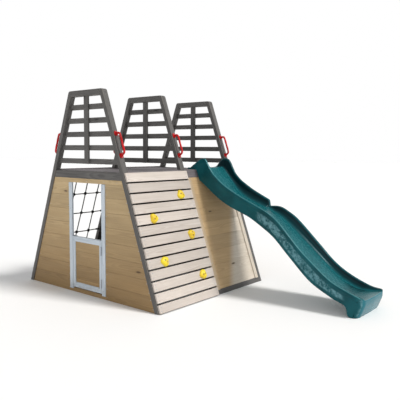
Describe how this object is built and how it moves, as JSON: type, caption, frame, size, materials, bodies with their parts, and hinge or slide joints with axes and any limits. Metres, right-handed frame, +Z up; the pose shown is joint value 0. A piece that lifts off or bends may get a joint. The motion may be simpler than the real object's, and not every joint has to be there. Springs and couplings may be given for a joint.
{
  "type": "climbing frame with climbing wall",
  "caption": "Pyramid climbing frame: leaning ladder frames carry a deck, a climbing wall with holds, a cargo net, a half door, grab handles and a wave slide.",
  "frame": {"origin": "on the ground, under the centre of the bounding box", "axes": "+Z up; -Y towards the gable with the half door; +X towards the side with the climbing wall and the slide"},
  "size_m": [3.3042, 1.618, 1.96],
  "materials": {
    "dark_stain": "dark grey-brown stained softwood, satin",
    "beam_stain": "grey stained softwood, satin",
    "clad_wood": "natural tan softwood boards, satin",
    "pale_wood": "pale natural softwood boards, satin",
    "white_paint": "bluish white paint on wood, satin",
    "yellow_plastic": "yellow cast resin, fine grained",
    "red_plastic": "red moulded plastic, glossy",
    "black_rope": "black twisted rope with plastic ferrules",
    "green_plastic": "dark teal moulded plastic, glossy",
    "zinc": "zinc plated steel"
  },
  "bodies": {
    "structure": {"leg_front_left": "dark_stain", "leg_front_right": "dark_stain", "rung_ladder_front": "dark_stain", "cross_beam_front": "dark_stain", "leg_middle_left": "dark_stain", "leg_middle_right": "dark_stain", "rung_ladder_middle": "dark_stain", "cross_beam_middle": "dark_stain", "leg_rear_left": "dark_stain", "leg_rear_right": "dark_stain", "rung_ladder_rear": "dark_stain", "cross_beam_rear": "dark_stain", "side_beam_left_front": "beam_stain", "side_beam_left_rear": "beam_stain", "grab_handle_front_left": "red_plastic", "grab_handle_middle_left": "red_plastic", "side_beam_right_front": "beam_stain", "side_beam_right_rear": "beam_stain", "grab_handle_front_right": "red_plastic", "grab_handle_middle_right": "red_plastic", "grab_handle_rear_right": "red_plastic", "deck": "beam_stain", "gable_cladding_left": "clad_wood", "gable_cladding_right": "clad_wood", "gable_cladding_header": "clad_wood", "rear_cladding": "clad_wood", "side_cladding_right": "pale_wood", "side_cladding_left": "pale_wood", "base_rail_right_rear": "dark_stain", "base_rail_left_front": "dark_stain", "door_sill": "clad_wood", "door_jamb_left": "white_paint", "door_jamb_right": "white_paint", "hinge_upper_jamb_leaf": "zinc", "hinge_lower_jamb_leaf": "zinc", "climbing_board_01": "pale_wood", "climbing_board_02": "pale_wood", "climbing_board_03": "pale_wood", "climbing_board_04": "pale_wood", "climbing_board_05": "pale_wood", "climbing_board_06": "pale_wood", "climbing_board_07": "pale_wood", "climbing_board_08": "pale_wood", "climbing_board_09": "pale_wood", "climbing_board_10": "pale_wood", "climbing_board_11": "pale_wood", "climbing_board_12": "pale_wood", "climbing_board_13": "pale_wood", "climbing_hold_1": "yellow_plastic", "climbing_hold_2": "yellow_plastic", "climbing_hold_3": "yellow_plastic", "climbing_hold_4": "yellow_plastic", "climbing_hold_5": "yellow_plastic", "cargo_net": "black_rope", "wave_slide": "green_plastic"},
    "door": {"door_frame": "white_paint", "door_panel": "clad_wood", "hinge_upper_door_leaf": "zinc", "hinge_lower_door_leaf": "zinc"}
  },
  "joints": [
    {"name": "door_swing", "type": "hinge", "parent": "structure", "child": "door", "pos_m": [-0.47688, -0.804, 0.3], "axis": [0, 0, 1], "range_deg": [0, 170]}
  ]
}
